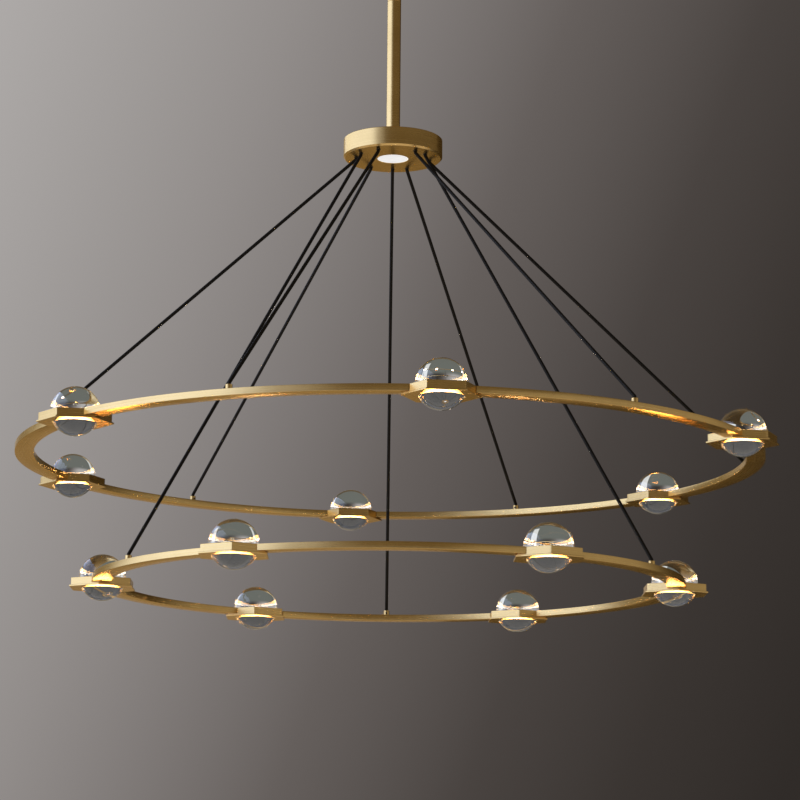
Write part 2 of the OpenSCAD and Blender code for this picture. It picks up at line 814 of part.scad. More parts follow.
// Bracket frame: a six-sided brass wall round the ball, with two corners on the ring's line.
module hex_frame(r, z, az) {
    reach = arc_deg(frame_c + past, r);
    difference() {
        on_ring(r, az, z - bar_lift) difference() {
            hex_prism(frame_c, 0, frame_h);
            hex_prism(frame_in_c, -past, frame_h + 2 * past);
        }
        wire_arc(r, wire_d + 2 * wire_fit, z + wire_up, az - reach, az + reach);
    }
}

module upper_hex_frames() {
    color("goldenrod") for (i = [0:lights - 1]) hex_frame(upper_r, upper_z, upper_light_az(i));
}

module lower_hex_frames() {
    color("goldenrod") for (i = [0:lights - 1]) hex_frame(lower_r, lower_z, lower_light_az(i));
}

// Seat plate: closes the frame from below, with a round seat that the ball rests in.
module seat_plate() {
    low = -bar_lift - plate_t;
    difference() {
        hex_prism(plate_c, low, plate_t);
        translate([0, 0, low + crystal_up]) sphere(r = crystal_r + crystal_fit);
    }
}

module upper_seat_plates() {
    color("goldenrod") at_upper_lights() seat_plate();
}

module lower_seat_plates() {
    color("goldenrod") at_lower_lights() seat_plate();
}

// Lamp strip: a board round the inside of the frame's wall that lights the ball from the side.
module lamp_strip() {
    outer = frame_in_c - 0.1;
    low = strip_up - bar_lift;
    difference() {
        hex_prism(outer, low, strip_h);
        hex_prism(outer - strip_t / cos(30), low - past, strip_h + 2 * past);
    }
}

module lamp_strips() {
    color("lightyellow") {
        at_upper_lights() lamp_strip();
        at_lower_lights() lamp_strip();
    }
}

module crystal() {
    color("lightcyan", 0.5) translate([0, 0, crystal_up - bar_lift - plate_t]) sphere(r = crystal_r);
}

ceiling_crossbar();
ground_screw();
canopy_studs();
canopy_cover();
canopy_cap_nuts();
swivel_seat();
swivel_liner();
swivel_ball();
upper_rod();
lower_rod();
rod_end_plugs();
stem_nipples();
hub_flange_nut();
supply_leads();
hub_shell();
hub_plate();
hub_posts();
hub_screws();
cable_bushings();
cable_grips();
downlight_housing();
downlight_led_board();
downlight_lens();
led_drivers();
terminal_block();
hub_wiring_loom();
for (i = [0:upper_cables - 1])
    cable(upper_cable_az(i), upper_r, upper_z + bar_h);
for (i = [0:lower_cables - 1])
    cable(lower_cable_az(i), lower_r, lower_z + bar_h);
cable_ferrules();
ferrule_nuts();
set_screws();
upper_ring_bars();
lower_ring_bars();
joining_tongues();
ring_wiring();
upper_hex_frames();
lower_hex_frames();
upper_seat_plates();
lower_seat_plates();
lamp_strips();
for (i = [0:lights - 1])
    on_ring(upper_r, upper_light_az(i), upper_z) crystal();
for (i = [0:lights - 1])
    on_ring(lower_r, lower_light_az(i), lower_z) crystal();
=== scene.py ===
import math

import bmesh
import bpy
from mathutils import Matrix, Vector


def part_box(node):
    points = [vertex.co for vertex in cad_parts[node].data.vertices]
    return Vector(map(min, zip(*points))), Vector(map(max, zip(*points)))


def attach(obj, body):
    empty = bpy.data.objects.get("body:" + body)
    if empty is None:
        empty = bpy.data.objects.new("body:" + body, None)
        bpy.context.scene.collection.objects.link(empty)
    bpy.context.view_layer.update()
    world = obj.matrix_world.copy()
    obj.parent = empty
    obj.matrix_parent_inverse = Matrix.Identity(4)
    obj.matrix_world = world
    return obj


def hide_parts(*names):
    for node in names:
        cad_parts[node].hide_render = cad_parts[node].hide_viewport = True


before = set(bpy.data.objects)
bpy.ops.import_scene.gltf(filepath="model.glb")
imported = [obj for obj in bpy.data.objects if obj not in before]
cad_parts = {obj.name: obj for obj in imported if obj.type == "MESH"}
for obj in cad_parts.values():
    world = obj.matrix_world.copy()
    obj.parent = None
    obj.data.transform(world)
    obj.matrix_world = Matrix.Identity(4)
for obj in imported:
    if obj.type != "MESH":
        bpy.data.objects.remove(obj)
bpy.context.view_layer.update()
scene = bpy.context.scene
scene.view_settings.view_transform = "Standard"
MM = 0.001

# Camera: a long lens a little under the rings, 5.3 m in front of the stem, that looks up at
# the hub. Every height is counted from the hub's underside.
hub_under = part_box("hub_plate")[0].z
camera_at = Vector((-0.04396, -5.34692, hub_under - 1.5730))
camera_turn = (Matrix.Rotation(math.radians(-0.471), 4, "Z")
               @ Matrix.Rotation(math.radians(90 + 11.194), 4, "X")
               @ Matrix.Rotation(math.radians(0.548), 4, "Z"))
camera_data = bpy.data.cameras.new("camera")
camera_data.lens = 119.178
camera_data.sensor_width = 36
camera_data.shift_x = 0.01175
camera_data.clip_end = 100
camera = bpy.data.objects.new("camera", camera_data)
camera.matrix_world = Matrix.Translation(camera_at) @ camera_turn
scene.collection.objects.link(camera)
scene.camera = camera


# Studio: a pale floor 1.7 m under the object, a backdrop that falls off to the right in front
# view, one long softbox on the left, and cards and a dark screen that only the metal mirrors.
# Two tall lights show in the crystals alone.
class Wire:
    """A socket of a node tree. Sums and products of wires add the Math nodes for them."""

    def __init__(self, tree, socket=None):
        self.tree, self.socket = tree, socket

    def add(self, kind, settings=(), sockets=(), out=0):
        """Adds a node, sets it up, then fills or links its sockets, and returns one output."""
        node = self.tree.nodes.new(kind)
        for key, value in dict(settings).items():
            if key == "stops":
                ramp = node.color_ramp.elements
                while len(ramp) < len(value):
                    ramp.new(0.5)
                for stop, (place, tone) in zip(ramp, value):
                    stop.position, stop.color = place, (*tone, 1)
            else:
                setattr(node, key, value)
        for key, value in dict(sockets).items():
            if isinstance(value, Wire):
                self.tree.links.new(value.socket, node.inputs[key])
            else:
                node.inputs[key].default_value = value
        return Wire(self.tree, node.outputs[out] if len(node.outputs) else None)

    def maths(self, operation, *values):
        return self.add("ShaderNodeMath", {"operation": operation}, dict(enumerate(values)))

    def __add__(self, other):
        return self.maths("ADD", self, other)

    def __sub__(self, other):
        return self.maths("SUBTRACT", self, other)

    def __rsub__(self, other):
        return self.maths("SUBTRACT", other, self)

    def __mul__(self, other):
        return self.maths("MULTIPLY", self, other)

    def __gt__(self, other):
        return self.maths("GREATER_THAN", self, other)

    __radd__, __rmul__ = __add__, __mul__


def rgba(tone):
    return (*tone, 1)


def new_material(name):
    material = bpy.data.materials.new(name)
    material.use_nodes = True
    material.node_tree.nodes.clear()
    return material, Wire(material.node_tree)


def blend_shaders(wire, factor, first, second):
    return wire.add("ShaderNodeMixShader", {}, {0: factor, 1: first, 2: second})


def stage_panel(name, corners, material, seen_by):
    """A flat stage piece that only the named kinds of ray see."""
    mesh = bpy.data.meshes.new(name)
    mesh.from_pydata(corners, [], [list(range(len(corners)))])
    panel = bpy.data.objects.new(name, mesh)
    mesh.materials.append(material)
    scene.collection.objects.link(panel)
    for kind in ("camera", "diffuse", "glossy", "transmission", "volume_scatter", "shadow"):
        setattr(panel, "visible_" + kind, kind in seen_by)
    return panel


def upright(x0, y0, x1, y1, low, high):
    return [(x0, y0, low), (x1, y1, low), (x1, y1, high), (x0, y0, high)]


def lying(x0, y0, x1, y1, z):
    return [(x0, y0, z), (x1, y0, z), (x1, y1, z), (x0, y1, z)]


BACKDROP = (0.44, 0.42, 0.41)
BACKDROP_SHADE = [(0.0, BACKDROP), (0.3, (0.285, 0.264, 0.255)), (0.55, (0.130, 0.114, 0.107)),
                  (0.72, (0.067, 0.057, 0.052)), (0.86, (0.043, 0.036, 0.032)), (1.0, (0.030, 0.025, 0.022))]
METAL_ROOM = (0.19, 0.15, 0.085)
METAL_CEILING = (0.14, 0.11, 0.06)
GLASS_CEILING = (0.050, 0.052, 0.056)
GLASS_FLOOR = (0.14, 0.15, 0.135)
LIGHTING = (0.62, 0.63, 0.66)
LIGHTING_LEVEL = 0.55
FLOOR_Z = -3.2
FLOOR_HALF = 30

world = bpy.data.worlds.new("studio")
scene.world = world
world.use_nodes = True
world.node_tree.nodes.clear()
air = Wire(world.node_tree)
towards = air.add("ShaderNodeTexCoord", out=0)
split = air.add("ShaderNodeSeparateXYZ", {}, {0: towards})
aside, forward, upward = (Wire(air.tree, split.socket.node.outputs[n]) for n in (0, 1, 2))


def tone_between(factor, low, high):
    low, high = (t if isinstance(t, Wire) else rgba(t) for t in (low, high))
    return air.add("ShaderNodeMix", {"data_type": "RGBA"}, {0: factor, 6: low, 7: high}, out=2)


def faded(wire, place, start, full):
    """From 0 at one place to 1 at the other, softly."""
    return wire.add("ShaderNodeMapRange", {"interpolation_type": "SMOOTHSTEP"},
                    {0: place, 1: start, 2: full})


behind = air.add("ShaderNodeValToRGB", {"stops": BACKDROP_SHADE}, {0: 2.4 * aside + (0.674 - 0.9 * upward)})
behind = tone_between(faded(air, forward, 0.80, 0.93), BACKDROP, behind)
in_metal = tone_between(faded(air, forward, 0.45, 0.85), METAL_ROOM, BACKDROP)
in_metal = tone_between(faded(air, upward, 0.14, 0.45), in_metal, METAL_CEILING)
in_glass = tone_between(faded(air, upward, -0.02, -0.16), behind, GLASS_FLOOR)
in_glass = tone_between(faded(air, upward, 0.18, 0.40), in_glass, GLASS_CEILING)
ray = air.add("ShaderNodeLightPath")
is_camera = Wire(air.tree, ray.socket.node.outputs["Is Camera Ray"])
is_glossy = Wire(air.tree, ray.socket.node.outputs["Is Glossy Ray"])
is_through = Wire(air.tree, ray.socket.node.outputs["Is Transmission Ray"])
look = air.add("ShaderNodeBackground", {}, {0: rgba(LIGHTING), 1: LIGHTING_LEVEL})
for sees, tone in ((is_glossy, in_metal), (is_through, in_glass), (is_camera, behind)):
    look = blend_shaders(air, sees, look, air.add("ShaderNodeBackground", {}, {0: tone, 1: 1.0}))
air.add("ShaderNodeOutputWorld", {}, {0: look})

floor_finish, wire = new_material("pale_floor")
place = wire.add("ShaderNodeTexCoord", out=3)
cloud = wire.add("ShaderNodeTexNoise", {}, {"Vector": place, "Scale": 0.7, "Detail": 3.0})
tone = wire.add("ShaderNodeValToRGB", {
    "stops": [(0.3, (0.53, 0.515, 0.505)), (0.7, (0.56, 0.545, 0.535))]}, {0: cloud})
paint = wire.add("ShaderNodeBsdfDiffuse", {}, {0: tone, "Roughness": 0.5})
below = wire.add("ShaderNodeNewGeometry")
wire.add("ShaderNodeOutputMaterial", {}, {0: blend_shaders(
    wire, Wire(wire.tree, below.socket.node.outputs["Backfacing"]), paint,
    wire.add("ShaderNodeBsdfTransparent"))})
stage_panel("floor", lying(-FLOOR_HALF, -FLOOR_HALF, FLOOR_HALF, FLOOR_HALF, FLOOR_Z), floor_finish,
            ("camera", "diffuse", "glossy", "shadow"))

SOFTBOX_X = -3.5
SOFTBOX_Y = (-10.0, 6.5)
SOFTBOX_Z = (-2.3, 2.6)
CARD_Z = FLOOR_Z + 0.02
SCREEN_TONE = (0.046, 0.032, 0.012)
FLOOR_CARD_TONE = (0.80, 0.72, 0.60)
TALL_LIGHT_TOP = -0.8


def glow_panel(name, corners, dim_tone, full_tone, brightness, seen_by):
    """A stage panel that shines by its own light, from dim to full over its x, y and z."""
    finish, wire = new_material(name)
    place = wire.add("ShaderNodeTexCoord", out=3)
    x, y, z = (Wire(wire.tree, s) for s in
               wire.add("ShaderNodeSeparateXYZ", {}, {0: place}).socket.node.outputs)
    tone = wire.add("ShaderNodeValToRGB", {"stops": [(0.0, dim_tone), (1.0, full_tone)]},
                    {0: brightness(wire, x, y, z)})
    wire.add("ShaderNodeOutputMaterial", {}, {0: wire.add("ShaderNodeEmission", {}, {0: tone, 1: 1.0})})
    return stage_panel(name, corners, finish, seen_by)


def softbox_brightness(wire, x, y, z):
    near = 0.22 * faded(wire, y, SOFTBOX_Y[0], -7.0) + 0.78 * faded(wire, y, -5.2, -2.7)
    return near * faded(wire, y - 4.0 * wire.maths("MAXIMUM", z, 0.0), 2.8, 0.3)


def side_card_brightness(wire, x, y, z):
    return faded(wire, y, 2.2, 0.2) * faded(wire, z, 0.2, -0.35)


def even_brightness(wire, x, y, z):
    return 1.0


def far_floor_brightness(wire, x, y, z):
    under_hub = faded(wire, wire.maths("ABSOLUTE", x), 1.8, 0.9) * faded(wire, y, 10.0, 7.5)
    return wire.maths("MAXIMUM", under_hub, faded(wire, x - 0.35 * y, -2.8, -5.3))


def tall_light_brightness(wire, x, y, z):
    return faded(wire, z, TALL_LIGHT_TOP, -1.4)


glow_panel("softbox", upright(SOFTBOX_X, SOFTBOX_Y[0], SOFTBOX_X, SOFTBOX_Y[1], *SOFTBOX_Z),
           (0.25, 0.22, 0.15), (1.45, 1.75, 2.55), softbox_brightness, ("diffuse", "glossy"))
for name, corners, dim_tone, full_tone, brightness in (
        ("side_card", upright(3.0, -6.0, 3.0, 2.4, FLOOR_Z, 0.25), (0.04, 0.03, 0.02), (0.42, 0.385, 0.31),
         side_card_brightness),
        ("dark_screen", upright(3.05, 2.0, 0.3, 6.2, FLOOR_Z, 2.4), SCREEN_TONE, SCREEN_TONE,
         even_brightness),
        ("floor_card", lying(-3.4, -5.0, 3.4, 1.4, CARD_Z), FLOOR_CARD_TONE, FLOOR_CARD_TONE,
         even_brightness),
        ("far_floor_card", lying(-12, 3.0, 12, 28, CARD_Z), (0.05, 0.039, 0.02), (0.40, 0.31, 0.165),
         far_floor_brightness)):
    glow_panel(name, corners, dim_tone, full_tone, brightness, ("glossy",))
for name, ends in (("right_tall_light", (1.50, 2.15, 2.05, 1.66)),
                   ("left_tall_light", (-2.12, 1.55, -2.34, 1.24))):
    glow_panel(name, upright(*ends, FLOOR_Z, TALL_LIGHT_TOP), GLASS_FLOOR, (0.78, 0.79, 0.77),
               tall_light_brightness, ("transmission",))


# Brass: drawn or turned brass, brushed along the work and lacquered. On upright faces the
# brush lines run round the object at one height, and on flat faces at one radius.
def object_place(wire):
    place = wire.add("ShaderNodeTexCoord", out=3)
    x, y, z = (Wire(wire.tree, s) for s in
               wire.add("ShaderNodeSeparateXYZ", {}, {0: place}).socket.node.outputs)
    return place, x, y, z


def brush_lines(wire):
    """Noise from 0 to 1 in lines that follow the work, coarse and fine."""
    place, x, y, z = object_place(wire)
    facing = wire.add("ShaderNodeNewGeometry", out=1)
    up = Wire(wire.tree, wire.add("ShaderNodeSeparateXYZ", {}, {0: facing}).socket.node.outputs[2])
    flat = wire.maths("ABSOLUTE", up) > 0.7
    radius = wire.maths("SQRT", x * x + y * y)
    across = flat * radius + (1 - flat) * z
    lines = []
    for spread, drift in ((420, 3.0), (2400, 14.0)):
        path = wire.add("ShaderNodeCombineXYZ", {}, {0: x * drift, 1: y * drift, 2: across * spread})
        lines.append(wire.add("ShaderNodeTexNoise", {}, {"Vector": path, "Scale": 1.0, "Detail": 2.0}))
    return place, lines


def metal_finish(name, dark, light, roughness, coat=0.0, edge=(1, 1, 1), rough_play=0.12, relief=0.06):
    """Brushed metal, from one tone to another, with or without a coat of lacquer."""
    material, wire = new_material(name)
    place, (coarse, fine) = brush_lines(wire)
    cloud = wire.add("ShaderNodeTexNoise", {}, {"Vector": place, "Scale": 9.0, "Detail": 3.0})
    mix = cloud * 0.5 + coarse * 0.3 + fine * 0.2
    tone = wire.add("ShaderNodeValToRGB", {"stops": [(0.36, dark), (0.64, light)]}, {0: mix})
    bump = wire.add("ShaderNodeBump", {}, {"Height": coarse * 0.4 + fine * 0.6, "Strength": relief,
                                           "Distance": 0.0002})
    metal = wire.add("ShaderNodeBsdfPrincipled", {}, {
        "Base Color": tone, "Metallic": 1.0, "Roughness": roughness + rough_play * (mix - 0.5),
        "Coat Weight": coat, "Coat Roughness": 0.18, "Coat IOR": 1.5, "Specular Tint": rgba(edge),
        "Normal": bump})
    wire.add("ShaderNodeOutputMaterial", {}, {0: metal})
    return material


satin_brass = metal_finish("satin_brass", (0.60, 0.40, 0.155), (0.73, 0.50, 0.205), 0.27, coat=0.25,
                           edge=(0.90, 0.74, 0.48))
turned_brass = metal_finish("turned_brass", (0.62, 0.43, 0.17), (0.74, 0.53, 0.24), 0.30)
zinc_steel = metal_finish("zinc_steel", (0.52, 0.53, 0.54), (0.68, 0.68, 0.67), 0.36)
black_steel = metal_finish("black_steel", (0.035, 0.035, 0.036), (0.06, 0.06, 0.06), 0.38)


def moulded_finish(name, dark, light, roughness, grain=300.0, relief=0.15, **shine):
    """Moulded plastic, rubber or enamel: one tone with a slight cloud in it and a fine grain."""
    material, wire = new_material(name)
    place = wire.add("ShaderNodeTexCoord", out=3)
    cloud = wire.add("ShaderNodeTexNoise", {}, {"Vector": place, "Scale": 22.0, "Detail": 3.0})
    fine = wire.add("ShaderNodeTexNoise", {}, {"Vector": place, "Scale": grain, "Detail": 2.0})
    tone = wire.add("ShaderNodeValToRGB", {"stops": [(0.3, dark), (0.7, light)]},
                    {0: cloud * 0.6 + fine * 0.4})
    bump = wire.add("ShaderNodeBump", {}, {"Height": fine, "Strength": relief, "Distance": 0.0002})
    body = wire.add("ShaderNodeBsdfPrincipled", {}, {
        "Base Color": tone, "Roughness": roughness + 0.12 * (fine - 0.5), "Normal": bump, **shine})
    wire.add("ShaderNodeOutputMaterial", {}, {0: body})
    return material


green_enamel = moulded_finish("green_enamel", (0.03, 0.24, 0.07), (0.05, 0.33, 0.11), 0.35)
white_nylon = moulded_finish("white_nylon", (0.76, 0.75, 0.71), (0.84, 0.83, 0.79), 0.45)
driver_case = moulded_finish("driver_case", (0.70, 0.70, 0.68), (0.80, 0.80, 0.78), 0.5)
wire_cover = moulded_finish("wire_cover", (0.03, 0.03, 0.03), (0.05, 0.05, 0.05), 0.45)
black_rubber = moulded_finish("black_rubber", (0.012, 0.012, 0.012), (0.024, 0.023, 0.022), 0.5)
cast_aluminium = metal_finish("cast_aluminium", (0.60, 0.60, 0.61), (0.74, 0.74, 0.75), 0.5)


def finish_node(node, material):
    """A CAD node that stays gets its material in every slot."""
    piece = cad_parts[node]
    if not piece.data.materials:
        piece.data.materials.append(material)
    for place in piece.material_slots:
        place.material = material


def settle(piece, body, material, slot, *nodes):
    """A finished piece gets its material, its body and the nodes that it stands for; the slot is not used."""
    piece.data.materials.clear()
    piece.data.materials.append(material)
    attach(piece, body)
    if nodes:
        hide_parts(*nodes)
    return piece


def smooth_mesh(name, bm, angle=30):
    """Turns a bmesh into a piece whose round faces are smooth and whose edges are crisp."""
    mesh = bpy.data.meshes.new(name)
    bm.to_mesh(mesh)
    bm.free()
    mesh.shade_smooth()
    mesh.set_sharp_from_angle(angle=math.radians(angle))
    piece = bpy.data.objects.new(name, mesh)
    scene.collection.objects.link(piece)
    return piece


def smooth_copy(node, angle=30):
    """A copy of a CAD node's mesh with its loose triangles joined, for smooth round faces."""
    bm = bmesh.new()
    bm.from_mesh(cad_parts[node].data)
    for layer in list(bm.loops.layers.float_vector.values()):
        bm.loops.layers.float_vector.remove(layer)
    bmesh.ops.remove_doubles(bm, verts=bm.verts, dist=2e-6)
    piece = smooth_mesh(node + "_smooth", bm, angle)
    for name in ("custom_normal", "sharp_face"):
        if name in piece.data.attributes:
            piece.data.attributes.remove(piece.data.attributes[name])
    piece.data.set_sharp_from_angle(angle=math.radians(angle))
    return piece


def smooth_part(node, body, material, slot):
    return settle(smooth_copy(node), body, material, slot, node)


# Ceiling parts: a slotted steel crossbar with a green ground screw, two studs, and a brass
# canopy cup that two domed nuts hold up against the ceiling.
for node, material, slot in (
        ("ceiling_crossbar", zinc_steel, "zinc_steel"), ("ground_screw", green_enamel, "green_screw"),
        ("canopy_studs", zinc_steel, "zinc_steel"), ("canopy_cover", satin_brass, "satin_brass"),
        ("canopy_cap_nuts", satin_brass, "satin_brass")):
    smooth_part(node, "ceiling_mount", material, slot)

# Swivel: a brass seat that turns in the canopy, a slippery liner in it, and the ball that
# the liner carries, with the rod hanging from it.
smooth_part("swivel_seat", "swivel_turn", satin_brass, "satin_brass")
smooth_part("swivel_liner", "swivel_cradle", white_nylon, "white_nylon")
for node in ("swivel_ball", "upper_rod", "lower_rod"):
    smooth_part(node, "chandelier", satin_brass, "satin_brass")

# Stem fittings: threaded plugs in the rods' ends, hollow nipples through them, and the nut
# that holds the hub on the lowest nipple.
for node, material, slot in (
        ("rod_end_plugs", turned_brass, "raw_brass"), ("stem_nipples", zinc_steel, "zinc_steel"),
        ("hub_flange_nut", zinc_steel, "zinc_steel"), ("supply_leads", wire_cover, "wire_cover")):
    finish_node(node, material)

# Hub: a turned brass shell held by three countersunk screws on posts, and the underside
# plate with its chamfered rim, which carries the cables in bushings and grips.
smooth_part("hub_shell", "chandelier", satin_brass, "satin_brass")
smooth_part("hub_plate", "chandelier", satin_brass, "satin_brass")
smooth_part("hub_screws", "chandelier", zinc_steel, "zinc_steel")
smooth_part("cable_bushings", "chandelier", black_rubber, "black_rubber")
finish_node("hub_posts", turned_brass)
finish_node("cable_grips", turned_brass)


# Downlight: a round opal lens lit from behind, let into the hub's plate. Above it, in the hub,
# stand its finned cast housing and its lamp board.
def lit_finish(name, tone, strength, base, grain=200.0):
    """A lit face, a shade dimmer in patches."""
    material, wire = new_material(name)
    place = wire.add("ShaderNodeTexCoord", out=3)
    cloud = wire.add("ShaderNodeTexNoise", {}, {"Vector": place, "Scale": grain, "Detail": 2.0})
    glow = wire.add("ShaderNodeValToRGB", {"stops": [(0.2, tuple(0.93 * c for c in tone)), (0.7, tone)]},
                    {0: cloud})
    wire.add("ShaderNodeOutputMaterial", {}, {0: wire.add("ShaderNodeBsdfPrincipled", {}, {
        "Base Color": rgba(base), "Roughness": 0.4, "Emission Color": glow, "Emission Strength": strength})})
    return material


opal_lens = lit_finish("opal_lens", (1.0, 0.98, 0.955), 0.74, (0.45, 0.44, 0.42), 40.0)
lamp_board = moulded_finish("lamp_board", (0.72, 0.70, 0.64), (0.84, 0.82, 0.76), 0.5)
smooth_part("downlight_lens", "chandelier", opal_lens, "opal_lens")
finish_node("downlight_housing", cast_aluminium)
finish_node("downlight_led_board", lamp_board)

# Supply parts in the hub: three lamp drivers in pale cases, a nylon terminal block, and a loom
# of covered wires that joins them to the leads from the rod.
for node, material in (("led_drivers", driver_case), ("terminal_block", white_nylon),
                       ("hub_wiring_loom", wire_cover)):
    finish_node(node, material)


# Cables: nine black sheathed steel cables. Each leaves the hub straight down, bends once,
# runs straight to its bar, and bends again into its ferrule.
def grown(name, base, inputs, build):
    """Grows a mesh from a base mesh by a Geometry Nodes tree, and returns it as plain mesh."""
    tree = bpy.data.node_groups.new(name, "GeometryNodeTree")
    tree.interface.new_socket(name="Geometry", in_out="INPUT", socket_type="NodeSocketGeometry")
    tree.interface.new_socket(name="Geometry", in_out="OUTPUT", socket_type="NodeSocketGeometry")
    for label, kind, _ in inputs:
        tree.interface.new_socket(name=label, in_out="INPUT", socket_type=kind)
    wire = Wire(tree)
    start = wire.add("NodeGroupInput").socket.node
    sockets = {s.name: Wire(tree, s) for s in start.outputs}
    wire.add("NodeGroupOutput", {}, {0: build(wire, sockets)})
    modifier = base.modifiers.new(name, "NODES")
    modifier.node_group = tree
    identifiers = {item.name: item.identifier for item in tree.interface.items_tree
                   if item.item_type == "SOCKET" and item.in_out == "INPUT"}
    for label, _, value in inputs:
        modifier[identifiers[label]] = value
    depsgraph = bpy.context.evaluated_depsgraph_get()
    mesh = bpy.data.meshes.new_from_object(base.evaluated_get(depsgraph))
    base.modifiers.clear()
    piece = bpy.data.objects.new(name, mesh)
    scene.collection.objects.link(piece)
    bpy.data.objects.remove(base)
    return piece


def base_mesh(name, points, edges=()):
    mesh = bpy.data.meshes.new(name)
    mesh.from_pydata(points, edges, [])
    base = bpy.data.objects.new(name, mesh)
    scene.collection.objects.link(base)
    return base


CABLE_R = 3.5 * MM
CABLE_IN_HUB = (21 * MM, 2 * MM)
EXIT_R = 77 * MM
EXIT_BEND = 8 * MM
END_BEND = 5 * MM
FERRULE_H = 11 * MM
SOCKET_DEPTH = 8.5 * MM
END_RISE = 0.8 * MM
BAR_H = 12.7 * MM
BAR_W = 38 * MM
RINGS = {"upper": {"r": (1524 - 38) / 2 * MM, "z": hub_under - 648 * MM, "turn": 6.5},
         "lower": {"r": (1200 - 38) / 2 * MM, "z": hub_under - 906 * MM, "turn": 0.0}}
CABLES = ([("upper", n + 1, 6.5 + 60 * n) for n in range(6)]
          + [("lower", n + 1, 90 + 120 * n) for n in range(3)])

black_cable = moulded_finish("black_cable", (0.004, 0.0035, 0.003), (0.008, 0.007, 0.006), 0.62, grain=900.0,
                             **{"Specular IOR Level": 0.18, "Specular Tint": rgba((1.0, 0.82, 0.6))})


def cable_route(r, bar_top):
    """Distance from the axis and height of points along one cable, from hub to bar."""
    start_z, end_z = hub_under - 0.5 * MM, bar_top + FERRULE_H + END_RISE
    across, down = r - EXIT_R - EXIT_BEND - END_BEND, start_z - end_z
    turn = math.atan2(across, down) + math.asin((EXIT_BEND + END_BEND) / math.hypot(across, down))
    bend = [turn * n / 12 for n in range(13)]
    points = [(EXIT_R, start_z + rise) for rise in CABLE_IN_HUB]
    points += [(EXIT_R + EXIT_BEND * (1 - math.cos(a)), start_z - EXIT_BEND * math.sin(a)) for a in bend]
    points += [(r - END_BEND * (1 - math.cos(a)), end_z + END_BEND * math.sin(a)) for a in reversed(bend)]
    points.append((r, bar_top + FERRULE_H - SOCKET_DEPTH))
    return points


def cable_tube(wire, sockets):
    """A round sheath along each line of the base mesh."""
    path = wire.add("GeometryNodeMeshToCurve", {}, {0: sockets["Geometry"]})
    round_section = wire.add("GeometryNodeCurvePrimitiveCircle", {}, {
        "Resolution": 20, "Radius": sockets["Sheath Radius"]})
    tube = wire.add("GeometryNodeCurveToMesh", {}, {
        "Curve": path, "Profile Curve": round_section, "Fill Caps": True})
    smooth = wire.add("GeometryNodeSetShadeSmooth", {}, {0: tube})
    whole = wire.add("GeometryNodeRealizeInstances", {}, {0: smooth})
    return wire.add("GeometryNodeSetMaterial", {}, {0: whole, "Material": sockets["Sheath"]})


for ring, number, azimuth in CABLES:
    turn = math.radians(azimuth)
    route = cable_route(RINGS[ring]["r"], RINGS[ring]["z"] + BAR_H)
    points = [(r * math.cos(turn), r * math.sin(turn), z) for r, z in route]
    base = base_mesh("cable_line", points, [(n, n + 1) for n in range(len(points) - 1)])
    node = "%s_cable_%d" % (ring, number)
    cable = grown(node + "_sheath", base, [("Sheath Radius", "NodeSocketFloat", CABLE_R),
                                           ("Sheath", "NodeSocketMaterial", black_cable)], cable_tube)
    settle(cable, "chandelier", black_cable, "black_cable", node)

# Ferrules: turned brass sockets on top of the bars, each with a black set screw that faces
# the ring's centre. The same black screws stand in the bars' tops beside each bracket.
smooth_part("cable_ferrules", "chandelier", satin_brass, "satin_brass")
smooth_part("set_screws", "chandelier", black_steel, "black_steel")
finish_node("ferrule_nuts", zinc_steel)


# Ring bars: six curved bars a ring, of drawn hollow brass. Their ends are notched to fit
# round a bracket's corner, with a fine joint line, and screwed to a tongue inside.
def eased_section(width, height, ease, steps=3):
    """Round a bar's section from the middle of its underside: (distance out, height)."""
    corners = [(1, 0), (1, 1), (-1, 1), (-1, 0)]
    points = [(0.0, 0.0)]
    for n, (side, top) in enumerate(corners):
        centre = (side * (width / 2 - ease), height - ease if top else ease)
        start = -90 + 90 * n
        for k in range(steps + 1):
            a = math.radians(start + 90 * k / steps)
            points.append((centre[0] + ease * math.cos(a), centre[1] + ease * math.sin(a)))
        if n == 1:
            points.append((0.0, height))
    return points


FRAME_C = 119.5 / 2 / math.cos(math.radians(30)) * MM
BAR_JOINT = 0.3 / math.cos(math.radians(30)) * MM
BAR_EASE = 0.6 * MM
BAR_STEPS = 48
BAR_END_EASE = 0.7 * MM
BAR_SCREW = 15 * MM
BAR_SCREW_BORE = (2.05 * MM, 2 * MM)


def notch_angle(out, r, gap):
    """How far round the ring from a bracket's centre the bar's notched end stands."""
    angle = 0.0
    for _ in range(6):
        aside = abs((r + out) * math.cos(angle) - r)
        angle = math.asin((FRAME_C + gap - aside * math.tan(math.radians(30))) / (r + out))
    return angle


def add_bar(bm, r, z, start, stop):
    """One bar between two brackets' azimuths, as closed walls with eased edges."""
    section = eased_section(BAR_W, BAR_H, BAR_EASE)
    inner = eased_section(BAR_W - 2 * BAR_END_EASE, BAR_H - 2 * BAR_END_EASE, BAR_EASE * 0.6)
    inner = [(u, v + BAR_END_EASE) for u, v in inner]
    rows = []
    for n in range(BAR_STEPS + 3):
        ends = n in (0, BAR_STEPS + 2)
        shape = inner if ends else section
        part = min(max(n - 1, 0), BAR_STEPS) / BAR_STEPS
        row = []
        for u, v in shape:
            gap = notch_angle(u, r, BAR_JOINT + (0.0 if ends else BAR_END_EASE))
            a = start + gap + (stop - start - 2 * gap) * part
            row.append(bm.verts.new(((r + u) * math.cos(a), (r + u) * math.sin(a), z + v)))
        rows.append(row)
    count = len(section)
    for low, high in zip(rows, rows[1:]):
        for k in range(count):
            bm.faces.new((low[k], low[(k + 1) % count], high[(k + 1) % count], high[k]))
    half = section.index((0.0, BAR_H))
    for row in (rows[0], rows[-1]):
        bm.faces.new(row[:half + 1])
        bm.faces.new(row[half:] + row[:1])


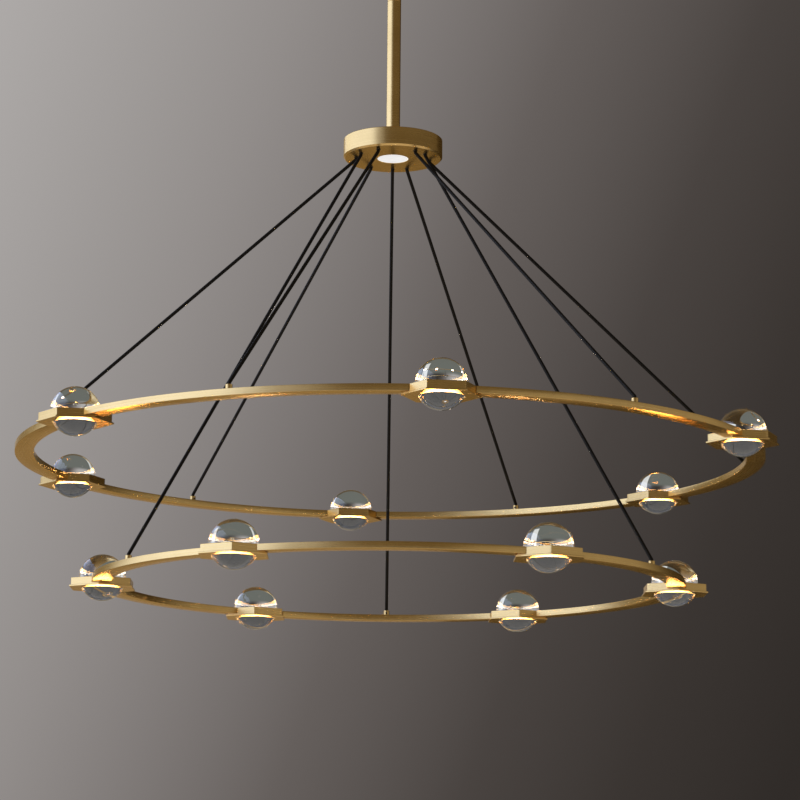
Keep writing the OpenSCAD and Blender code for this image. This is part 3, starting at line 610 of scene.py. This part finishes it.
def drilled(piece, holes):
    """Bores round holes in a piece: each hole has a place, a radius and a depth below it."""
    cutter_bm = bmesh.new()
    for place, radius, depth in holes:
        bmesh.ops.create_cone(cutter_bm, cap_ends=True, segments=24, radius1=radius, radius2=radius,
                              depth=2 * depth, matrix=Matrix.Translation(place))
    cutter = smooth_mesh("bores", cutter_bm)
    modifier = piece.modifiers.new("bores", "BOOLEAN")
    modifier.operation, modifier.solver, modifier.object = "DIFFERENCE", "EXACT", cutter
    depsgraph = bpy.context.evaluated_depsgraph_get()
    mesh = bpy.data.meshes.new_from_object(piece.evaluated_get(depsgraph))
    piece.modifiers.clear()
    piece.data = mesh
    bpy.data.objects.remove(cutter)
    return piece


def ring_point(r, azimuth, z):
    return Vector((r * math.cos(azimuth), r * math.sin(azimuth), z))


for ring, size in RINGS.items():
    r, z = size["r"], size["z"]
    size["lights"] = [math.radians(size["turn"] + 30 + 60 * n) if ring == "upper"
                      else math.radians(60 * n) for n in range(6)]
    bm = bmesh.new()
    for azimuth in size["lights"]:
        add_bar(bm, r, z, azimuth, azimuth + math.radians(60))
    bmesh.ops.recalc_face_normals(bm, faces=bm.faces)
    bars = smooth_mesh(ring + "_ring_brass_bars", bm, 25)
    screw_turn = (FRAME_C + BAR_SCREW) / r
    drilled(bars, [(ring_point(r, azimuth + side * screw_turn, z + BAR_H), *BAR_SCREW_BORE)
                   for azimuth in size["lights"] for side in (-1, 1)])
    settle(bars, "chandelier", satin_brass, "satin_brass", ring + "_ring_bars")

finish_node("joining_tongues", turned_brass)
finish_node("ring_wiring", wire_cover)


# Brackets: a six-sided brass frame round each ball, with two corners on the ring's line and a
# thin inner ledge, open round the ball, that shades the lamps. Under it lies a slightly wider
# seat plate, whose round hole carries the ball.
def hexagon(corner, ease, steps=4, along=12):
    """Points round a six-sided outline whose corners are eased, the first side from 0 degrees."""
    points = []
    apothem = corner * math.cos(math.radians(30))
    centre = corner - ease / math.cos(math.radians(30))
    half = (apothem - ease) * math.tan(math.radians(30))
    for n in range(6):
        a0 = math.radians(60 * n)
        for k in range(steps + 1):
            a = a0 + math.radians(-30 + 60 * k / steps)
            points.append((centre * math.cos(a0) + ease * math.cos(a),
                           centre * math.sin(a0) + ease * math.sin(a)))
        mid = a0 + math.radians(30)
        for k in range(1, along):
            s = half * (2 * k / along - 1)
            points.append((apothem * math.cos(mid) - s * math.sin(mid),
                           apothem * math.sin(mid) + s * math.cos(mid)))
    return points


def round_outline(like, radius):
    """A circle with one point for each point of another outline."""
    return [(x / math.hypot(x, y) * radius, y / math.hypot(x, y) * radius) for x, y in like]


def add_walls(bm, outlines, place):
    """Closed walls through a stack of outlines, each with its height, back to the first one."""
    rows = [[bm.verts.new(place @ Vector((x, y, z))) for x, y in points] for points, z in outlines]
    count = len(rows[0])
    for low, high in zip(rows, rows[1:] + rows[:1]):
        for k in range(count):
            bm.faces.new((low[k], low[(k + 1) % count], high[(k + 1) % count], high[k]))


def bracket_place(r, azimuth, z):
    return (Matrix.Rotation(azimuth, 4, "Z") @ Matrix.Translation((r, 0, z))
            @ Matrix.Rotation(math.radians(90), 4, "Z"))


FRAME_WALL = 4 / math.cos(math.radians(30)) * MM
FRAME_EASE = 0.45 * MM
BAR_LIFT = 2.3 * MM
STRIP_LOW, STRIP_TOP = -1.3 * MM, 6.7 * MM
LEDGE_LOW, LEDGE_TOP = STRIP_TOP + 0.4 * MM, STRIP_TOP + 1.2 * MM
LEDGE_R = 48.4 * MM
PLATE_T = 3 * MM
PLATE_C = (119.5 / 2 + 3.5) / math.cos(math.radians(30)) * MM
BALL_R = 47.5 * MM
BALL_UP = 22.5 * MM
SEAT_R = BALL_R + 0.15 * MM

frame_out, frame_trim = hexagon(FRAME_C, 0.6 * MM), hexagon(FRAME_C - FRAME_EASE, 0.4 * MM)
frame_in = hexagon(FRAME_C - FRAME_WALL, 1.2 * MM)
frame_in_trim = hexagon(FRAME_C - FRAME_WALL + FRAME_EASE, 1.4 * MM)
ledge_in = round_outline(frame_in, LEDGE_R)
plate_out, plate_trim = hexagon(PLATE_C, 0.6 * MM), hexagon(PLATE_C - FRAME_EASE, 0.4 * MM)
frame_low, frame_top = -BAR_LIFT, BAR_H
plate_low = -BAR_LIFT - PLATE_T
ball_z = plate_low + BALL_UP


def seat_hole(height):
    """The round hole's outline at a height in the plate, cut to the ball."""
    return round_outline(plate_out, math.sqrt(SEAT_R ** 2 - (ball_z - height) ** 2)), height


for ring, size in RINGS.items():
    frames, plates = bmesh.new(), bmesh.new()
    for azimuth in size["lights"]:
        place = bracket_place(size["r"], azimuth, size["z"])
        add_walls(frames, [
            (frame_trim, frame_low), (frame_out, frame_low + FRAME_EASE), (frame_out, frame_top - FRAME_EASE),
            (frame_trim, frame_top), (frame_in_trim, frame_top), (frame_in, frame_top - FRAME_EASE),
            (frame_in, LEDGE_TOP), (ledge_in, LEDGE_TOP), (ledge_in, LEDGE_LOW), (frame_in, LEDGE_LOW),
            (frame_in, frame_low + FRAME_EASE), (frame_in_trim, frame_low)], place)
        add_walls(plates, [
            (plate_trim, plate_low), (plate_out, plate_low + FRAME_EASE), (plate_out, frame_low - FRAME_EASE),
            (plate_trim, frame_low), seat_hole(frame_low), seat_hole(frame_low - PLATE_T / 2),
            seat_hole(plate_low)], place)
    for bm, what in ((frames, "hex_frames"), (plates, "seat_plates")):
        bmesh.ops.recalc_face_normals(bm, faces=bm.faces)
        settle(smooth_mesh("%s_brass_%s" % (ring, what), bm, 28), "chandelier", satin_brass,
               "satin_brass", "%s_%s" % (ring, what))


# Bracket lamps: a white flexible board round the inside of each frame under a milky cover, with
# a warm lamp chip at even steps along each of its six sides.
strip_glow = lit_finish("lamp_strip_board", (1.0, 0.90, 0.77), 78.0, (0.86, 0.80, 0.70))
chip_glow = lit_finish("lamp_chip", (1.0, 0.92, 0.80), 120.0, (0.95, 0.85, 0.6), 900.0)

STRIP_OUT_C = FRAME_C - FRAME_WALL - 0.1 * MM
STRIP_FACE_C = STRIP_OUT_C - 1.0 / math.cos(math.radians(30)) * MM
CHIP_SIZE = (0.8 * MM, 4.0 * MM, 5.5 * MM)
CHIP_HALF_STEPS = 48
board_out, board_in = hexagon(STRIP_OUT_C, 1.1 * MM), hexagon(STRIP_FACE_C, 0.5 * MM)
bm = bmesh.new()
for size in RINGS.values():
    for azimuth in size["lights"]:
        add_walls(bm, [(board_out, STRIP_LOW), (board_out, STRIP_TOP), (board_in, STRIP_TOP),
                       (board_in, STRIP_LOW)], bracket_place(size["r"], azimuth, size["z"]))
bmesh.ops.recalc_face_normals(bm, faces=bm.faces)
settle(smooth_mesh("lamp_boards", bm, 28), "chandelier", strip_glow, "lamp_board", "lamp_strips")


def chip_rows(wire, sockets):
    """Lamp chips round a six-sided board, one board at each point, turned to the ring's centre."""
    board = wire.add("GeometryNodeCurvePrimitiveCircle", {}, {
        "Resolution": 6, "Radius": sockets["Board Corner"]})
    fine = wire.add("GeometryNodeResampleCurve", {}, {"Curve": board, "Count": sockets["Half Steps"]})
    odd = wire.maths("MODULO", wire.add("GeometryNodeInputIndex"), 2.0)
    chip = wire.add("GeometryNodeMeshCube", {}, {"Size": sockets["Chip Size"]})
    facing = wire.add("FunctionNodeAlignRotationToVector", {"axis": "Y"},
                      {"Vector": wire.add("GeometryNodeInputTangent")})
    row = wire.add("GeometryNodeInstanceOnPoints", {}, {
        "Points": fine, "Selection": odd, "Instance": chip, "Rotation": facing})
    row = wire.add("GeometryNodeTransform", {}, {"Geometry": row, "Rotation": (0, 0, math.radians(90))})
    x, y, _ = (Wire(wire.tree, s) for s in wire.add(
        "ShaderNodeSeparateXYZ", {}, {0: wire.add("GeometryNodeInputPosition")}).socket.node.outputs)
    heading = wire.add("ShaderNodeCombineXYZ", {}, {2: wire.maths("ARCTAN2", y, x)})
    rows = wire.add("GeometryNodeInstanceOnPoints", {}, {
        "Points": sockets["Geometry"], "Instance": wire.add("GeometryNodeGeometryToInstance", {}, {0: row}),
        "Rotation": heading})
    whole = wire.add("GeometryNodeRealizeInstances", {}, {0: rows})
    return wire.add("GeometryNodeSetMaterial", {}, {0: whole, "Material": sockets["Chip"]})


centres = [ring_point(size["r"], azimuth, size["z"] + (STRIP_LOW + STRIP_TOP) / 2)
           for size in RINGS.values() for azimuth in size["lights"]]
chips = grown("lamp_chips", base_mesh("chip_centres", centres), [
    ("Board Corner", "NodeSocketFloat", STRIP_FACE_C), ("Half Steps", "NodeSocketInt", CHIP_HALF_STEPS),
    ("Chip Size", "NodeSocketVector", CHIP_SIZE), ("Chip", "NodeSocketMaterial", chip_glow)], chip_rows)
settle(chips, "chandelier", chip_glow, "opal_lens")


# Crystals: twelve solid balls of clear glass, ground and polished. Each one rests by its own
# weight in the round seat of its bracket.
clear_crystal, wire = new_material("clear_crystal")
place = wire.add("ShaderNodeTexCoord", out=3)
cloud = wire.add("ShaderNodeTexNoise", {}, {"Vector": place, "Scale": 14.0, "Detail": 2.0})
tone = wire.add("ShaderNodeValToRGB", {"stops": [(0.3, (0.985, 0.99, 0.99)), (0.7, (1.0, 1.0, 1.0))]},
                {0: cloud})
wire.add("ShaderNodeOutputMaterial", {}, {0: wire.add("ShaderNodeBsdfPrincipled", {}, {
    "Base Color": tone, "Roughness": 0.0, "IOR": 1.52, "Transmission Weight": 1.0})})

for ring, size in RINGS.items():
    for number, azimuth in enumerate(size["lights"]):
        bm = bmesh.new()
        centre = ring_point(size["r"], azimuth, size["z"] + ball_z)
        bmesh.ops.create_uvsphere(bm, u_segments=128, v_segments=64, radius=BALL_R,
                                  matrix=Matrix.Translation(centre))
        node = "%s_crystal_%d" % (ring, number + 1)
        settle(smooth_mesh(node + "_ball", bm, 60), "chandelier", clear_crystal, "clear_crystal", node)
